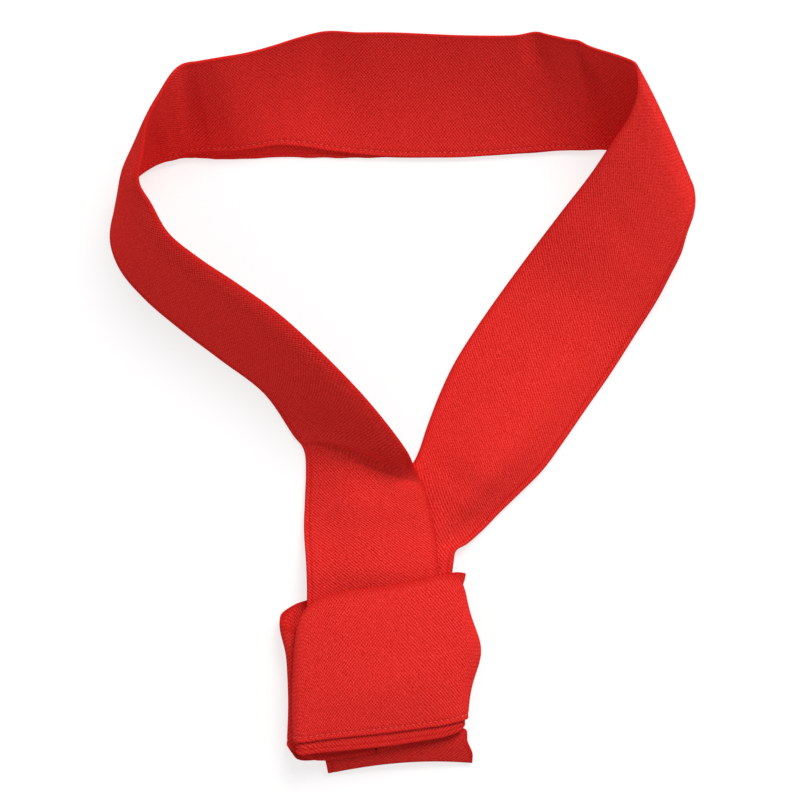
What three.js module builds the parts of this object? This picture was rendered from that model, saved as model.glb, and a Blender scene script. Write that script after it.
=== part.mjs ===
// A neckerchief lying on a flat surface: a strip of cloth folded double along its length, laid round
// in a loop whose two legs cross and are gathered in a flat knot.
// Millimetres, +Z up. The surface it lies on is z = 0, and the knot points to -Y.
import * as THREE from 'three';

// Cloth: two layers joined by a soft fold on one long edge, with a hem on each free edge
const bandCloth = { wall: 1.0, slit: 0.4 };
const underCloth = { wall: 0.85, slit: 0.3 };
const hemRound = 0.3;
const swellPower = 6;
const shoulderPower = 5;
const shoulderPeak = (shoulderPower + 1) ** (shoulderPower + 1) / shoulderPower ** shoulderPower;

// Levels of the middle of each pass through the knot, from the surface up
const layerGap = 0.35;
const bandHalf = bandCloth.wall + bandCloth.slit / 2;
const underHalf = underCloth.wall + underCloth.slit / 2;
const backLevel = bandHalf;
const underBackLevel = backLevel + bandHalf + layerGap + underHalf;
const lowerLegLevel = underBackLevel + underHalf + layerGap + bandHalf;
const upperLegLevel = lowerLegLevel + 2 * bandHalf + layerGap;
const underFrontLevel = upperLegLevel + bandHalf + layerGap + underHalf;
const flapLevel = underFrontLevel + underHalf + layerGap + bandHalf;
const frontLevel = flapLevel + 2 * bandHalf + 2 * layerGap;

// Every table has a row for each section across the strip, in the order of the strip's length.
// hem is the stitched edge of the layer that faces inwards on the neck, fold is the folded edge.
// bow is how far the middle of the section stands off the straight line between them, towards the
// outer layer, and shoulder is how far it stands off near the fold. puff is how much the fold swells,
// peek how far the outer layer's own hem reaches past the inner one, and lead how far the middle of
// the section is ahead of its ends along the strip.
const columns = [
  'hemX', 'hemY', 'hemZ', 'foldX', 'foldY', 'foldZ', 'bow', 'shoulder', 'puff', 'peek', 'lead',
];

// Dents in a strip, towards the outer layer where depth is positive. A dent's middle is at a row and a
// share of the width, its reach is counted in rows and in shares, and lean is how many rows further
// on its line is for one width.
const dentColumns = ['atRow', 'atShare', 'rows', 'shares', 'lean', 'depth'];

const neckBandRows = [
  // Left leg, from inside the knot over the right leg to the crease
  [-39.2, -99.5, upperLegLevel, 15.4, -99.5, upperLegLevel, 0.0, 0.0, 0.0, 0.8],
  [-38.6, -83.0, upperLegLevel, 16.0, -82.0, upperLegLevel, 0.0, 0.0, 0.0, 0.8],
  [-38.9, -70.0, 8.4, 15.6, -70.0, 9.0, 1.0, 0.0, 0.1, 0.8],
  [-40.0, -55.0, 3.6, 14.4, -57.0, 6.8, 2.6, 0.0, 0.2, 0.8],
  [-39.8, -42.0, 1.6, 12.2, -46.0, 6.6, 3.2, 0.2, 0.2, 0.6],
  [-39.4, -31.0, 1.3, 10.6, -39.6, 6.8, 2.8, 0.4, 0.3, 0.6, 1.0],
  [-39.8, -23.0, 1.2, 8.4, -34.2, 7.0, 2.3, 0.6, 0.3, 0.6, 3.4],
  [-41.2, -19.0, 1.1, 5.6, -28.4, 11.2, 1.3, 1.0, 0.3, 0.6, 7.0],
  // Left leg leaning on its hem, up to the left turn
  [-44.4, -14.8, 1.0, 1.8, -20.4, 22.6, 0.4, 1.4, 0.3, 0.6, 6.0],
  [-57.0, 3.6, 1.0, -17.5, 4.0, 38.6, 0.6, 1.8, 0.3, 0.6, 2.0],
  [-76.0, 18.4, 1.0, -48.0, 33.7, 44.5, 0.8, 2.0, 0.3, 0.6],
  [-93.2, 31.4, 1.0, -66.8, 47.6, 46.0, 0.8, 2.0, 0.3, 0.6],
  [-108.2, 44.2, 1.0, -83.0, 58.4, 47.0, 0.8, 2.0, 0.3, 0.6],
  [-118.6, 56.6, 1.0, -95.2, 68.4, 48.5, 0.8, 1.6, 0.3, 0.6],
  // Left turn, standing on its hem
  [-122.6, 68.6, 1.0, -102.2, 80.4, 50.0, 1.4, 1.0, 0.3, 0.6],
  [-120.4, 82.0, 1.0, -107.2, 89.4, 51.0, 2.4, 0.4, 0.3, 0.6],
  [-115.4, 92.8, 1.0, -105.7, 100.6, 51.0, 4.0, 0.0, 0.3, 0.8],
  [-105.2, 99.7, 1.8, -103.6, 114.8, 50.0, 3.4, 0.0, 0.3, 2.0],
  [-95.6, 101.6, 3.4, -98.2, 125.6, 48.8, 2.2, 0.0, 0.3, 3.0],
  [-88.4, 102.7, 4.6, -92.4, 134.6, 47.0, 0.8, 0.0, 0.3, 4.4],
  [-83.0, 104.7, 5.2, -88.4, 137.6, 46.0, 1.4, 0.0, 0.2, 5.2],
  [-78.4, 105.9, 5.5, -83.3, 138.8, 45.4, 1.2, 0.0, 0.2, 5.8],
  // Back, with the inner face up and the fold raised at the rear
  [-70.4, 106.5, 5.2, -74.1, 140.7, 43.6, 0.9, 0.0, 0.2, 5.8],
  [-60.6, 107.8, 5.2, -63.7, 143.2, 38.4, 1.6, 0.0, 0.2, 6.5],
  [-52.0, 109.0, 4.9, -53.7, 146.2, 35.6, 2.8, 0.0, 0.2, 7.0],
  [-42.0, 108.4, 4.1, -43.7, 149.6, 34.2, 3.4, 0.0, 0.2, 6.2],
  [-30.0, 106.7, 2.9, -31.7, 152.7, 33.4, 3.8, 0.0, 0.2, 4.0],
  [-17.0, 105.3, 2.1, -17.5, 152.3, 33.0, 3.2, 0.0, 0.2, 2.3],
  [-5.0, 104.5, 1.6, -4.8, 152.4, 32.4, 2.4, 0.0, 0.2, 1.1],
  [24.0, 104.2, 1.2, 24.3, 151.2, 32.4, 2.4, 0.0, 0.2, 0.6],
  [45.0, 105.6, 1.2, 45.2, 150.9, 33.6, 2.2, 0.0, 0.2, 1.0],
  [57.0, 106.6, 1.3, 56.3, 151.3, 36.4, 2.4, 0.0, 0.2, 1.4],
  [67.0, 107.2, 1.6, 63.9, 149.7, 40.0, 2.6, 0.0, 0.2, 1.2],
  [77.0, 107.2, 2.2, 70.9, 147.3, 43.0, 3.0, 0.0, 0.2, 1.0],
  [88.1, 107.2, 2.4, 79.2, 144.4, 43.4, 5.0, 0.0, 0.2, 0.8],
  // Right turn, a soft roll over a slanting line
  [105.4, 101.4, 4.2, 90.2, 140.6, 45.6, 5.0, 0.0, 0.2, 0.8],
  [119.8, 94.2, 10.6, 95.2, 137.4, 48.8, 0.8, 0.0, 0.2, 0.8],
  [122.0, 86.6, 14.6, 95.9, 132.6, 48.6, -0.4, 0.0, 0.2, 0.8],
  [121.2, 78.8, 17.0, 96.2, 126.4, 45.6, -1.2, 0.0, 0.2, 0.8],
  [118.9, 71.4, 16.4, 93.6, 117.6, 41.0, -1.2, 0.2, 0.2, 0.8],
  // Right leg, coming down to the surface
  [116.8, 63.4, 14.0, 87.0, 107.0, 35.4, -0.8, 0.4, 0.3, 0.8],
  [112.3, 53.9, 10.8, 77.9, 93.4, 27.4, -0.2, 0.4, 0.3, 0.8],
  [106.9, 43.3, 7.0, 66.8, 79.1, 19.4, 1.0, 0.4, 0.3, 0.8],
  [98.3, 29.4, 3.2, 53.1, 61.0, 10.0, 1.6, 0.2, 0.3, 0.8],
  [87.6, 12.4, 1.6, 41.8, 45.6, 5.4, 2.4, 0.0, 0.3, 0.8],
  [77.5, -2.2, 1.3, 31.0, 30.0, 3.2, 2.8, 0.0, 0.3, 0.8],
  [67.6, -16.6, 1.3, 22.1, 15.6, 2.4, 3.0, 0.0, 0.3, 0.8],
  [58.8, -28.6, 1.3, 16.0, 2.6, 1.9, 3.2, 0.0, 0.2, 0.8],
  [48.9, -38.6, 1.3, 11.0, -10.4, 1.6, 2.8, 0.0, 0.1, 0.8],
  [40.4, -46.9, 1.3, 5.6, -25.0, 1.4, 1.4, 0.0, 0.0, 0.8],
  [33.2, -54.5, 1.8, -6.0, -40.0, 1.4, 0.2, 0.0, 0.0, 0.8],
  [26.4, -60.6, 3.6, -16.0, -51.0, 2.4, 0.0, 0.0, 0.0, 0.8],
  [21.8, -63.6, 5.0, -24.0, -60.0, 4.0, 0.0, 0.0, 0.0, 0.8],
  [20.8, -68.0, lowerLegLevel - 0.4, -29.0, -68.0, 5.8, 0.0, 0.0, 0.0, 0.8],
  [19.4, -82.0, lowerLegLevel, -32.0, -82.0, lowerLegLevel, 0.0, 0.0, 0.0, 0.8],
  [18.6, -99.5, lowerLegLevel, -32.0, -99.5, lowerLegLevel, 0.0, 0.0, 0.0, 0.8],
];
const neckBandDents = [
  // Creases that run down from the back's raised edge towards the right turn
  [31.0, 0.86, 0.4, 0.24, -1.2, 2.2],
  [33.4, 0.82, 0.4, 0.22, -1.4, 2.2],
  // Valley below the corner of the left turn
  [18.95, 0.05, 1.5, 0.5, 1.1, 3.4],
  // Left leg's low stretch and right leg's low stretch, curling down to their hems
  [4.0, 0.38, 2.4, 0.26, 0.0, 2.8],
  [46.4, 0.26, 3.0, 0.2, 0.0, 3.6],
  [48.2, 0.34, 1.6, 0.2, 0.0, 3.0],
  [49.8, 0.3, 1.3, 0.16, 0.0, 1.6],
];

const knotWrapRows = [
  // Flap turned under the left edge
  [-18.0, -138.0, 12.8, -15.0, -85.0, flapLevel + 0.4, 1.0, 0.0, 0.0, 3.6],
  [-34.0, -140.0, 12.8, -31.0, -86.5, flapLevel + 0.4, 1.0, 0.0, 0.0, 4.4],
  // Left fold, rounded at its top
  [-42.5, -142.0, 12.9, -41.2, -90.0, flapLevel + 0.6, 0.4, 0.0, 0.0, 4.8],
  [-44.4, -142.6, 14.6, -43.4, -95.0, flapLevel + 2.3, -0.8, 0.0, 0.0, 5.0],
  [-42.5, -142.8, 16.3, -41.4, -88.4, flapLevel + 4.0, -1.0, 0.0, 0.0, 5.4],
  // Front panel, with the inner face up
  [-34.0, -141.7, 16.0, -34.0, -82.4, frontLevel + 0.5, -2.0, 0.0, 0.0, 5.6],
  [-22.0, -140.4, 15.7, -22.0, -79.4, frontLevel + 0.3, -2.4, 0.0, 0.0, 5.8],
  [-6.0, -138.9, 14.4, -6.0, -77.4, frontLevel - 0.7, -2.6, 0.0, 0.0, 5.8],
  [8.0, -137.2, 13.0, 8.0, -74.8, frontLevel - 1.7, -2.6, 0.0, 0.0, 5.6],
  [17.6, -136.0, 12.2, 18.0, -72.8, frontLevel - 2.8, -2.2, 0.0, 0.0, 5.2],
  // Right fold, clear of the corner where the inner turn shows
  [24.6, -134.4, 11.0, 23.8, -74.0, 13.0, -1.2, 0.0, 0.0, 4.6],
  [27.0, -133.8, 7.2, 26.8, -83.4, 8.0, -0.6, 0.0, 0.0, 3.0],
  [25.4, -134.4, 2.5, 25.6, -84.0, 2.6, -0.4, 0.0, 0.0, 2.0],
  // Back panel, flat on the surface
  [19.0, -136.0, backLevel, 19.0, -82.0, backLevel, 0.0, 0.0, 0.0, 1.0],
  [0.0, -138.0, backLevel, 0.0, -79.5, backLevel, 0.0, 0.0, 0.0, 1.0],
  [-17.0, -139.0, backLevel, -17.0, -79.0, backLevel, 0.0, 0.0, 0.0, 1.0],
  [-34.0, -140.0, backLevel, -34.0, -79.5, backLevel, 0.0, 0.0, 0.0, 1.0],
];
const knotWrapDents = [
  // Bulge of the right fold
  [11.0, 0.57, 0.9, 0.25, 0.0, -5.0],
  // Rise of the front panel above its hem
  [7.4, 0.3, 2.6, 0.2, 0.0, -1.2],
];

const knotUnderwrapRows = [
  // Front pass, under the wrap's panel
  [-10.4, -147.6, 9.2, -10.4, -83.0, underFrontLevel + 0.4, -0.8, 0.0, 0.0, 0.6],
  [-2.0, -144.6, 9.2, -2.0, -79.6, underFrontLevel + 0.4, -0.8, 0.0, 0.0, 0.6],
  [8.0, -142.0, 9.2, 8.0, -76.5, underFrontLevel + 0.3, -0.8, 0.0, 0.0, 0.6],
  [16.4, -138.4, 9.0, 16.8, -73.4, underFrontLevel + 0.2, -0.7, 0.0, 0.0, 0.6],
  // Right fold, whose top end sticks out beside the wrap
  [21.0, -137.0, 8.3, 22.6, -72.0, 10.0, -0.5, 0.0, 0.0, 0.6],
  [22.2, -136.6, 6.4, 24.2, -72.6, 7.4, -0.5, 0.0, 0.0, 0.6],
  [21.0, -137.0, 4.5, 22.6, -73.4, 4.7, -0.3, 0.0, 0.0, 0.6],
  [16.0, -139.0, underBackLevel, 17.2, -73.4, underBackLevel, 0.0, 0.0, 0.0, 0.6],
  // Back pass
  [11.0, -141.0, underBackLevel, 11.4, -74.6, underBackLevel, 0.0, 0.0, 0.0, 0.6],
  [0.0, -143.6, underBackLevel, 0.0, -77.0, underBackLevel, 0.0, 0.0, 0.0, 0.6],
  [-18.0, -146.8, underBackLevel, -18.0, -79.5, underBackLevel, 0.0, 0.0, 0.0, 0.6],
  [-38.0, -151.2, underBackLevel, -39.6, -84.2, underBackLevel, 0.0, 0.0, 0.0, 0.6],
  // Left fold, an open loop that bulges at its top end
  [-44.6, -150.4, underBackLevel + 0.8, -46.2, -86.8, underBackLevel - 0.6, -0.1, 0.0, 0.0, 0.6],
  [-47.6, -145.2, 6.6, -48.8, -90.2, 5.8, 1.2, 0.0, 0.1, 0.6],
  [-44.6, -147.8, 8.6, -47.2, -95.8, 10.8, -0.2, 0.0, 0.1, 0.6],
  // Front pass again, up to the first one
  [-37.0, -150.6, 9.1, -38.6, -94.5, underFrontLevel + 0.2, -0.8, 0.0, 0.0, 0.6],
  [-24.0, -150.0, 9.2, -24.0, -90.0, underFrontLevel + 0.4, -0.8, 0.0, 0.0, 0.6],
  [-11.0, -147.8, 9.2, -11.0, -83.4, underFrontLevel + 0.4, -0.8, 0.0, 0.0, 0.6],
];
const knotUnderwrapDents = [
  // Bulges at the top ends of the right and the left fold
  [5.0, 1.0, 1.1, 0.09, 0.0, -2.6],
  [13.1, 0.94, 1.0, 0.14, 0.0, -2.4],
];

const tailEndRows = [
  // From the tip, down on the surface, up into the knot
  [-30.0, -157.0, 1.6, 30.1, -153.4, 1.4, 0.0, 0.0, 0.0, 0.8, 3.2],
  [-30.5, -153.8, 4.6, 30.1, -149.2, 3.5, 0.0, 0.0, 0.0, 0.8, 2.2],
  [-31.2, -150.4, 6.5, 28.0, -143.8, 5.9, 0.0, 0.0, 0.0, 0.8, 1.0],
  [-32.0, -145.4, 6.5, 27.2, -138.7, 6.5, 0.0, 0.0, 0.0, 0.8, 0.2],
  [-32.6, -137.0, 6.3, 18.4, -138.5, 6.4, 0.0, 0.0, 0.0, 0.8, 0.0],
  [-32.8, -126.0, 6.3, 17.6, -128.0, 6.3, 0.0, 0.0, 0.0, 0.8, 0.0],
  [-33.0, -103.0, 6.3, 17.8, -103.0, 6.3, 0.0, 0.0, 0.0, 0.8, 0.0],
];

// Places the whole neckerchief with the middle of its outline at the origin
const outlineCentre = new THREE.Vector3(0.05, -1.5, 0);

const colours = { band: '#c8221f', wrap: '#d42a26', under: '#b01c1a', tail: '#a81a18' };
const clothRoughness = 0.92;

// Names the numbers of a table's row by its columns. A number that a row leaves out is 0.
function named(names, row) {
  return Object.fromEntries(names.map((name, index) => [name, row[index] ?? 0]));
}

// The section across a folded strip, once round its edge, as pairs of the distance from the hem
// and the distance from the middle surface. The outer layer is the positive side. Both layers stand
// apart by the puff at the fold, and by less of it away from the fold.
function sectionOutline(width, puff, peek, cloth) {
  const slitHalf = cloth.slit / 2;
  const half = cloth.wall + slitHalf;
  const foldRadius = half + puff;
  const foldStart = width - foldRadius;
  const shares = [0, 0.25, 0.5, 0.75, 0.9, 1];
  const across = (from) => shares.map((share) => from + share * (foldStart - from));
  const swell = (w) => puff * Math.max(0, w / foldStart) ** swellPower;
  const outerFace = across(-peek).map((w) => [w, half + swell(w)]);
  const foldAngles = [Math.PI / 4, 0, -Math.PI / 4];
  const foldArc = foldAngles.map((angle) => [
    foldStart + foldRadius * Math.cos(angle),
    foldRadius * Math.sin(angle),
  ]);
  const innerFace = across(0).reverse().map((w) => [w, -half - swell(w)]);
  const innerHem = [-hemRound, -(half + slitHalf) / 2];
  const innerSlit = across(0).map((w) => [w, -slitHalf - swell(w)]);
  const slitEnd = [foldStart + slitHalf + puff, 0];
  const outerSlit = across(-peek).reverse().map((w) => [w, slitHalf + swell(w)]);
  const outerHem = [-peek - hemRound, (half + slitHalf) / 2];
  return [
    ...outerFace,
    ...foldArc,
    ...innerFace,
    innerHem,
    ...innerSlit,
    slitEnd,
    ...outerSlit,
    outerHem,
  ];
}

// Sweeps the section through a table's rows. Both edges and the other values follow smooth curves,
// so a section stands at any place between two rows.
function foldedStrip(table, dents, cloth, stepsPerRow) {
  const rows = table.map((row) => named(columns, row));
  const dentRows = dents.map((row) => named(dentColumns, row));
  const curve = (point) => new THREE.CatmullRomCurve3(rows.map(point), false, 'centripetal');
  const hemCurve = curve((row) => new THREE.Vector3(row.hemX, row.hemY, row.hemZ));
  const foldCurve = curve((row) => new THREE.Vector3(row.foldX, row.foldY, row.foldZ));
  const rings = (rows.length - 1) * stepsPerRow;
  const nearby = 0.1 / rings;

  const straightPoint = (place, share) => {
    const hem = hemCurve.getPoint(THREE.MathUtils.clamp(place, 0, 1));
    return hem.lerp(foldCurve.getPoint(THREE.MathUtils.clamp(place, 0, 1)), share);
  };
  const forward = (place, share) => {
    const behind = straightPoint(place - nearby, share);
    return straightPoint(place + nearby, share).sub(behind).normalize();
  };
  const outward = (place, share) => {
    const acrossStrip = straightPoint(place, 1).sub(straightPoint(place, 0));
    return acrossStrip.cross(forward(place, share)).normalize();
  };
  const between = (place, key) => {
    const at = place * (rows.length - 1);
    const before = Math.min(Math.floor(at), rows.length - 2);
    return THREE.MathUtils.lerp(rows[before][key], rows[before + 1][key], at - before);
  };
  const dented = (place, share) => dentRows.reduce((sum, dent) => {
    const across = share - dent.atShare;
    const along = place * (rows.length - 1) - dent.atRow - dent.lean * across;
    return sum + dent.depth * Math.exp(-((along / dent.rows) ** 2) - (across / dent.shares) ** 2);
  }, 0);

  const positions = [];
  let outline = [];
  let firstOutline = [];
  for (let ring = 0; ring <= rings; ring += 1) {
    const place = ring / rings;
    const width = straightPoint(place, 0).distanceTo(straightPoint(place, 1));
    const bow = between(place, 'bow');
    const shoulder = between(place, 'shoulder') * shoulderPeak;
    const lead = between(place, 'lead');
    outline = sectionOutline(width, between(place, 'puff'), between(place, 'peek'), cloth);
    if (ring === 0) firstOutline = outline;
    const section = outline.map(([across, out]) => {
      const share = across / width;
      const inside = THREE.MathUtils.clamp(share, 0, 1);
      const arch = 4 * inside * (1 - inside);
      const raised = shoulder * inside ** shoulderPower * (1 - inside);
      const rise = out + bow * arch + raised + dented(place, inside);
      return straightPoint(place, share)
        .addScaledVector(outward(place, inside), rise)
        .addScaledVector(forward(place, inside), lead * arch);
    });
    // A section that would reach below the surface is lifted onto it
    const lift = Math.max(0, -Math.min(...section.map((point) => point.z)));
    for (const point of section) positions.push(point.x, point.y, point.z + lift);
  }

  const count = outline.length;
  const triangles = [];
  for (let ring = 0; ring < rings; ring += 1) {
    for (let index = 0; index < count; index += 1) {
      const here = ring * count + index;
      const next = ring * count + ((index + 1) % count);
      triangles.push(here, next, next + count, here, next + count, here + count);
    }
  }
  const capFaces = (points) => THREE.ShapeUtils.triangulateShape(
    points.map(([across, out]) => new THREE.Vector2(across, out)),
    [],
  );
  const lastRing = rings * count;
  for (const [a, b, c] of capFaces(firstOutline)) triangles.push(a, b, c);
  for (const [a, b, c] of capFaces(outline)) triangles.push(lastRing + c, lastRing + b, lastRing + a);

  const geometry = new THREE.BufferGeometry();
  geometry.setAttribute('position', new THREE.Float32BufferAttribute(positions, 3));
  geometry.setIndex(triangles);
  geometry.computeVertexNormals();
  return geometry;
}

function clothPiece(name, table, dents, cloth, stepsPerRow, colour) {
  const material = new THREE.MeshStandardMaterial({
    color: colour,
    roughness: clothRoughness,
    metalness: 0,
    side: THREE.DoubleSide,
  });
  const mesh = new THREE.Mesh(foldedStrip(table, dents, cloth, stepsPerRow), material);
  mesh.name = name;
  return mesh;
}

const neckerchief = new THREE.Group();
neckerchief.name = 'neckerchief';
neckerchief.add(
  clothPiece('neck_band', neckBandRows, neckBandDents, bandCloth, 2, colours.band),
  clothPiece('knot_wrap', knotWrapRows, knotWrapDents, bandCloth, 2, colours.wrap),
  clothPiece('knot_underwrap', knotUnderwrapRows, knotUnderwrapDents, underCloth, 2, colours.under),
  clothPiece('tail_end', tailEndRows, [], bandCloth, 2, colours.tail),
);
neckerchief.position.copy(outlineCentre).negate();

export default neckerchief;
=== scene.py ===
import bpy
import numpy as np
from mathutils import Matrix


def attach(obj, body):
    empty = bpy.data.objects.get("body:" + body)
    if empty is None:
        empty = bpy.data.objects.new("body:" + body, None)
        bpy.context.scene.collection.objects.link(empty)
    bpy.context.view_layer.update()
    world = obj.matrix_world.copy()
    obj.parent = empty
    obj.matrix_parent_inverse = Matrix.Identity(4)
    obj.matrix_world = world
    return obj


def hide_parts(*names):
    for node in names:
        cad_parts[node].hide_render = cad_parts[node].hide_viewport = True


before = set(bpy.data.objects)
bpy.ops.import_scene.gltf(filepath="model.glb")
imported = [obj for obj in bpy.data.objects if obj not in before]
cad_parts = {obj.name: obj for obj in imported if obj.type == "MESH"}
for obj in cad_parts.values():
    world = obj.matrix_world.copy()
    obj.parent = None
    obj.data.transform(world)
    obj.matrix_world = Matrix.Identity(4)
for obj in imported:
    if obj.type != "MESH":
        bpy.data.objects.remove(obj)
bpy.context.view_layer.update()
print("frame loaded")

millimetre = 0.001
outlineCentre = np.array([0.05, -1.5, 0.0])  # middle of the outline, brought to the origin

# Each row is one section across a strip, in the order of the strip's length.
# hem and fold are the two long edges. bow lifts the middle of the section towards the outer
# layer and shoulder lifts it near the fold. puff is how much the fold swells, peek how far the
# outer layer's hem shows past the inner one, and lead how far the middle is ahead of the ends.
columns = ["hemX", "hemY", "hemZ", "foldX", "foldY", "foldZ", "bow", "shoulder", "puff", "peek", "lead"]

# Levels of the middle of each pass through the knot
bandHalf = 1.2
underHalf = 1.0
layerGap = 0.35
backLevel = bandHalf
underBackLevel = backLevel + bandHalf + layerGap + underHalf
lowerLegLevel = underBackLevel + underHalf + layerGap + bandHalf
upperLegLevel = lowerLegLevel + 2 * bandHalf + layerGap
underFrontLevel = upperLegLevel + bandHalf + layerGap + underHalf
flapLevel = underFrontLevel + underHalf + layerGap + bandHalf
frontLevel = flapLevel + 2 * bandHalf + 2 * layerGap

# How sharply the swelling and the shoulder gather at the fold
swellPower = 6
shoulderPower = 5
shoulderPeak = (shoulderPower + 1) ** (shoulderPower + 1) / shoulderPower**shoulderPower
foldEdgeReach = 1.5  # how far the painted shade at a fold's edge reaches round it
hemTurn = (0.2, 0.6)  # cloth that has gone round a hem's edge, at its first and its last point


# Points of a long edge at each place: the edge runs through its rows' points on centripetal
# Catmull-Rom spans, where a span's end slopes come from three chords divided by the square
# roots of their lengths. Places count rows, so 2.5 is half way from row 2 to row 3.
def throughRows(points, places):
    ends = np.vstack([2 * points[0] - points[1], points, 2 * points[-1] - points[-2]])
    span = np.clip(places.astype(int), 0, len(points) - 2)
    share = (places - span)[:, None]
    p0, p1, p2, p3 = (ends[span + k] for k in range(4))
    root = lambda a, b: np.sqrt(np.linalg.norm(b - a, axis=1, keepdims=True)) + 1e-9
    d0, d1, d2 = root(p0, p1), root(p1, p2), root(p2, p3)
    slope1 = d1 * ((p1 - p0) / d0 - (p2 - p0) / (d0 + d1) + (p2 - p1) / d1)
    slope2 = d1 * ((p2 - p1) / d1 - (p3 - p1) / (d1 + d2) + (p3 - p2) / d2)
    square, cube = share**2, share**3
    return (
        p1
        + slope1 * share
        + (3 * (p2 - p1) - 2 * slope1 - slope2) * square
        + (2 * (p1 - p2) + slope1 + slope2) * cube
    )


# Value between rows, eased so that its slope is level at each row
def betweenRows(values, places):
    span = np.clip(places.astype(int), 0, len(values) - 2)
    share = places - span
    ease = share * share * (3 - 2 * share)
    return values[span] + (values[span + 1] - values[span]) * ease


# Closed loops of points joined ring to ring into quads. At each end a cap of quads pairs every
# skin point with the lining point behind it, and one face closes each hem.
def ringMesh(name, rings, skinCount, hemCount):
    ringTotal, loopTotal = rings.shape[:2]
    ring, point = np.meshgrid(np.arange(ringTotal - 1), np.arange(loopTotal), indexing="ij")
    here = (ring * loopTotal + point).ravel()
    after = (ring * loopTotal + (point + 1) % loopTotal).ravel()
    sides = np.stack([here, after, after + loopTotal, here + loopTotal], axis=1)
    skin = np.arange(skinCount - 1)
    liningOf = 2 * skinCount + hemCount - 1 - skin
    capEnd = np.stack([skin, skin + 1, liningOf - 1, liningOf], axis=1)
    innerHem = np.arange(skinCount - 1, skinCount + hemCount + 1)
    outerHem = np.r_[np.arange(2 * skinCount + hemCount - 1, loopTotal), 0]
    last = (ringTotal - 1) * loopTotal
    faces = sides.tolist()
    faces += capEnd[:, ::-1].tolist() + (capEnd + last).tolist()
    for hem in (innerHem, outerHem):
        faces += [hem[::-1].tolist(), (hem + last).tolist()]
    mesh = bpy.data.meshes.new(name)
    mesh.from_pydata(rings.reshape(-1, 3).tolist(), [], faces)
    mesh.update()
    mesh.polygons.foreach_set("use_smooth", np.ones(len(mesh.polygons), bool))
    piece = bpy.data.objects.new(name, mesh)
    bpy.context.scene.collection.objects.link(piece)
    return piece


# A value for every vertex, kept on the mesh for its material
def vertexValue(piece, name, values):
    layer = piece.data.attributes.new(name, "FLOAT", "POINT")
    layer.data.foreach_set("value", np.ascontiguousarray(values, dtype=np.float32).ravel())


# Where the cloth's own threads run: u along the strip and v round the fold, in metres
def clothMap(piece, along, round_):
    loops = np.empty(len(piece.data.loops), np.int32)
    piece.data.loops.foreach_get("vertex_index", loops)
    uv = np.stack([along.ravel()[loops], round_.ravel()[loops]], axis=1) * millimetre
    layer = piece.data.uv_layers.new(name="clothMap")
    layer.data.foreach_set("uv", uv.astype(np.float32).ravel())


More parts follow.
